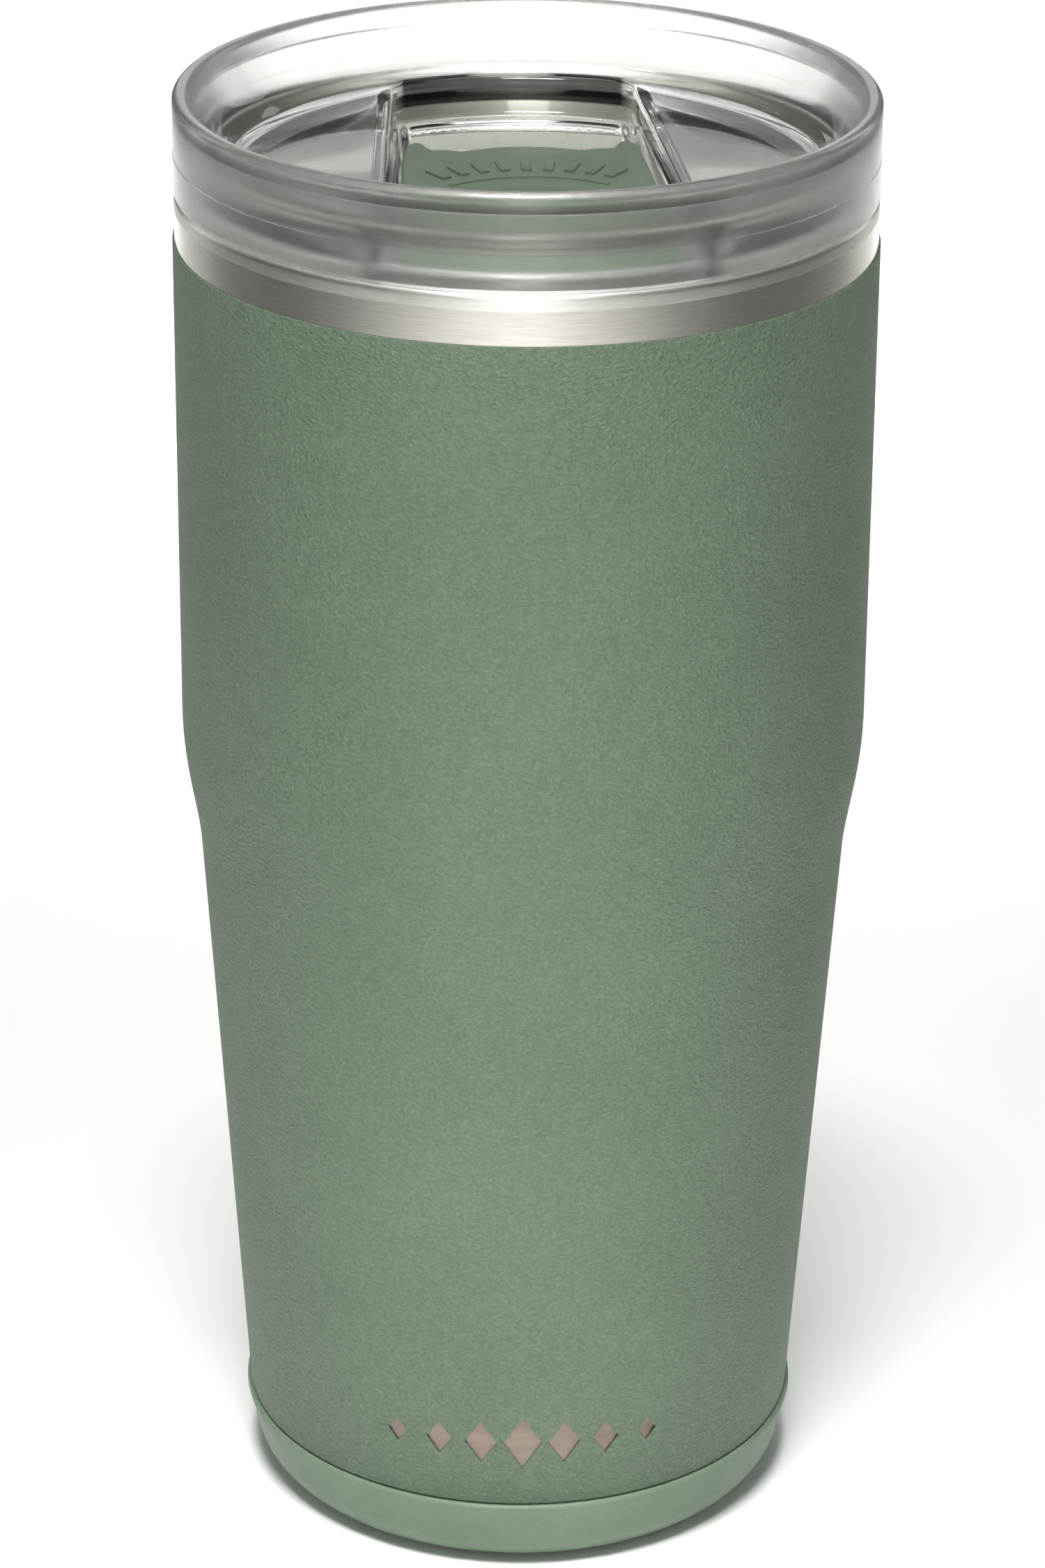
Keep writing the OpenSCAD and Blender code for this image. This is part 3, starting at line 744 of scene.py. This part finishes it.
def addGrips(plate, top):
    # short ribs fanned out behind the dimple, and a thin curved line under them
    middle = (0, slider["dimpleY"] * mm, 0)
    deselectAll()
    bpy.ops.mesh.primitive_cube_add(size=1)
    rib = bpy.context.object
    rib.name = "gripRib"
    tall = grips["proud"] + 0.4
    rib.scale = (grips["wide"] * mm, (grips["outer"] - grips["inner"]) * mm, tall * mm)
    rib.location = (0, (slider["dimpleY"] + (grips["inner"] + grips["outer"]) / 2) * mm,
                    (top - 0.4 + tall / 2) * mm)
    bpy.ops.object.transform_apply(location=True, rotation=True, scale=True)
    bpy.ops.object.mode_set(mode="EDIT")
    bpy.ops.mesh.select_all(action="SELECT")
    bpy.ops.mesh.bevel(offset=0.16 * mm, segments=3, affect="EDGES")
    bpy.ops.object.mode_set(mode="OBJECT")
    ribs = [rib]
    for i in range(1, grips["count"]):
        makeActive(rib)
        bpy.ops.object.duplicate()
        ribs.append(bpy.context.object)
    for i, one in enumerate(ribs):
        makeActive(one)
        angle = grips["reach"] * (2 * i / (grips["count"] - 1) - 1)
        bpy.ops.transform.rotate(value=math.radians(angle), orient_axis="Z", center_override=middle)
        bpy.ops.object.transform_apply(location=True, rotation=True, scale=True)
    for one in ribs:
        combine(plate, one, "UNION")
    half, line = grips["lineWide"] / 2, grips["lineR"]
    sweep = grips["reach"] + 6
    outer = arcPoints(0, slider["dimpleY"], line + half, 90 + sweep, 90 - sweep, 32)
    inner = arcPoints(0, slider["dimpleY"], line - half, 90 - sweep, 90 + sweep, 32)
    ridge = loftedPiece("gripLine", [(top - 0.4, inner + outer), (top + 0.14, inner + outer)])
    selectPoints(ridge, lambda p: p.z > top)
    bpy.ops.mesh.bevel(offset=0.12 * mm, segments=3, affect="EDGES")
    bpy.ops.object.mode_set(mode="OBJECT")
    combine(plate, ridge, "UNION")


def makeSlider():
    top, low = sliderHigh.z, sliderLow.z
    plateLow = top - slider["plate"]
    plate = loftedPiece("sliderPlate", [(plateLow, plateOutline()), (top, plateOutline())])
    selectPoints(plate, lambda p: p.z > top - 0.01)
    bpy.ops.mesh.bevel(offset=0.4 * mm, segments=4, affect="EDGES")
    bpy.ops.object.mode_set(mode="OBJECT")
    selectPoints(plate, lambda p: p.z < plateLow + 0.01)
    bpy.ops.mesh.bevel(offset=0.15 * mm, segments=2, affect="EDGES")
    bpy.ops.object.mode_set(mode="OBJECT")

    under = underOutline(slider["carrierX"], slider["carrierR"], None)
    carrier = loftedPiece("carrier", [(low, under), (low + slider["lip"], under)])
    selectPoints(carrier, lambda p: p.z > low + slider["lip"] - 0.01)
    bpy.ops.mesh.bevel(offset=0.2 * mm, segments=2, affect="EDGES")
    bpy.ops.object.mode_set(mode="OBJECT")
    combine(plate, carrier, "UNION")

    deselectAll()
    neckH = plateLow - low + 0.2
    bpy.ops.mesh.primitive_cube_add(size=1)
    neck = bpy.context.object
    neck.scale = ((2 * slider["carrierX"] - 1.2) * mm, slider["neckLong"] * mm, neckH * mm)
    neck.location = (0, slider["neckY"] * mm, (low + 0.1 + neckH / 2) * mm)
    bpy.ops.object.transform_apply(location=True, rotation=True, scale=True)
    combine(plate, neck, "UNION")

    railBack = track["grooveBackY"] - slider["travel"] - slider["railEnd"]
    railLong = railBack - slider["railFrontY"]
    bpy.ops.mesh.primitive_cube_add(size=1)
    rail = bpy.context.object
    rail.scale = (2 * slider["railX"] * mm, railLong * mm, slider["railH"] * mm)
    rail.location = (0, (railBack - railLong / 2) * mm, (low + slider["railH"] / 2) * mm)
    bpy.ops.object.transform_apply(location=True, rotation=True, scale=True)
    combine(plate, rail, "UNION")

    # thumb dimple, with a raised ring round it
    deep, wide = slider["dimpleDeep"], slider["dimpleR"]
    ball = (wide ** 2 + deep ** 2) / (2 * deep)
    deselectAll()
    bpy.ops.mesh.primitive_torus_add(
        major_segments=128, minor_segments=16, major_radius=(wide + 0.5) * mm,
        minor_radius=0.55 * mm, location=(0, slider["dimpleY"] * mm, (top - 0.3) * mm))
    ring = bpy.context.object
    bpy.ops.object.transform_apply(location=True, rotation=True, scale=True)
    selectPoints(ring, lambda p: p.z > top - 0.02)
    bpy.ops.transform.translate(value=(0, 0, -0.01 * mm))
    bpy.ops.object.mode_set(mode="OBJECT")
    combine(plate, ring, "UNION")
    deselectAll()
    bpy.ops.mesh.primitive_uv_sphere_add(
        segments=256, ring_count=512, radius=ball * mm,
        location=(0, slider["dimpleY"] * mm, (top - deep + ball) * mm))
    dish = bpy.context.object
    bpy.ops.object.transform_apply(location=True, rotation=True, scale=True)
    selectPoints(dish, lambda p: p.z > top + 2.5)
    bpy.ops.mesh.delete(type="VERT")
    bpy.ops.mesh.select_all(action="DESELECT")
    bpy.ops.mesh.select_non_manifold()
    bpy.ops.mesh.edge_face_add()
    bpy.ops.object.mode_set(mode="OBJECT")
    combine(plate, dish, "DIFFERENCE")
    addGrips(plate, top)
    finishPiece(plate, "slider_plastic", "slider", "slider_plate", 30)


seal = {"backR": 31.6, "edge": 0.2}


def makeSeal():
    low, high = sealLow.z, sealHigh.z
    outline = underOutline(sealHigh.x, seal["backR"], sealLow.y)
    pad = loftedPiece("sliderSeal", [(low, outline), (high, outline)])
    selectPoints(pad, lambda p: p.z < low + 0.01)
    bpy.ops.mesh.bevel(offset=seal["edge"] * mm, segments=3, affect="EDGES")
    bpy.ops.object.mode_set(mode="OBJECT")
    finishPiece(pad, "seal", "slider", "slider_seal")


makeSlider()
makeSeal()
print("slider made")


floorSet = {"size": 12.0, "tones": ((0.3, "#F1F1EF"), (0.7, "#F7F7F5"))}
lights = [
    # name, place, aim, size, power, spread, in metres, watts and degrees
    ("keySoftbox", (-0.08, -0.5, 1.3), (-0.04, -0.3, 0), (0.34, 0.34), 2.2, 34),
    ("frontSoftbox", (-0.1, -1.4, 0.5), (0, 0, 0.1), (0.4, 0.4), 3.3, 180),
    ("floorSoftbox", (0.04, 0.62, 1.0), (0.04, 0.52, 0), (0.6, 0.6), 2.5, 46),
    ("leftStrip", (-0.9, 0.8, 0.45), (0, 0, 0.1), (0.25, 0.9), 1.1, 180),
    ("rightStrip", (0.9, 0.8, 0.45), (0, 0, 0.1), (0.25, 0.9), 1.1, 180),
    ("backPanel", (0.05, 1.5, 0.75), (0, 0.1, 0.15), (0.9, 0.9), 2.6, 180),
]
worldLight = 0.1
cameraSet = {"distance": 0.6, "height": 0.3594, "turn": -3.5, "pitch": -23.78, "roll": 0.427,
             "lens": 118.02, "sensor": 36}


def makeFloor():
    deselectAll()
    bpy.ops.mesh.primitive_plane_add(size=floorSet["size"])
    floor = bpy.context.object
    floor.name = "floor"
    material, tree = newMaterial("paleFloor")
    place = addNode(tree, "ShaderNodeTexCoord").outputs["Object"]
    soft = addNode(tree, "ShaderNodeTexNoise", {"Scale": 1.5, "Detail": 3.0},
                   {"Vector": place}).outputs["Fac"]
    tint = addNode(tree, "ShaderNodeValToRGB", {"stops": floorSet["tones"]},
                   {"Fac": soft}).outputs["Color"]
    shader = addNode(tree, "ShaderNodeBsdfPrincipled", {"Roughness": 0.55}, {"Base Color": tint})
    addNode(tree, "ShaderNodeOutputMaterial", links={"Surface": shader.outputs[0]})
    floor.data.materials.append(material)


def aimAt(thing, target):
    thing.rotation_euler = (Vector(target) - thing.location).to_track_quat("-Z", "Y").to_euler()


def makeLights():
    world = bpy.data.worlds.new("studio")
    world.use_nodes = True
    world.node_tree.nodes["Background"].inputs["Color"].default_value = (1, 1, 1, 1)
    world.node_tree.nodes["Background"].inputs["Strength"].default_value = worldLight
    bpy.context.scene.world = world
    for name, place, target, size, power, spread in lights:
        data = bpy.data.lights.new(name, "AREA")
        data.shape = "RECTANGLE"
        data.size, data.size_y = size
        data.energy = power
        data.spread = math.radians(spread)
        lamp = bpy.data.objects.new(name, data)
        lamp.location = place
        bpy.context.scene.collection.objects.link(lamp)
        aimAt(lamp, target)


def makeCamera():
    data = bpy.data.cameras.new("camera")
    data.lens = cameraSet["lens"]
    data.sensor_width = cameraSet["sensor"]
    camera = bpy.data.objects.new("camera", data)
    turn = math.radians(cameraSet["turn"])
    reach = cameraSet["distance"]
    camera.location = (reach * math.sin(turn), -reach * math.cos(turn), cameraSet["height"])
    look = Matrix.Rotation(turn, 4, "Z")
    look @= Matrix.Rotation(math.radians(90 + cameraSet["pitch"]), 4, "X")
    look @= Matrix.Rotation(math.radians(cameraSet["roll"]), 4, "Z")
    camera.rotation_euler = look.to_euler()
    bpy.context.scene.collection.objects.link(camera)
    bpy.context.scene.camera = camera


makeFloor()
makeLights()
makeCamera()
bpy.context.scene.view_settings.view_transform = "Standard"
print("stage made")
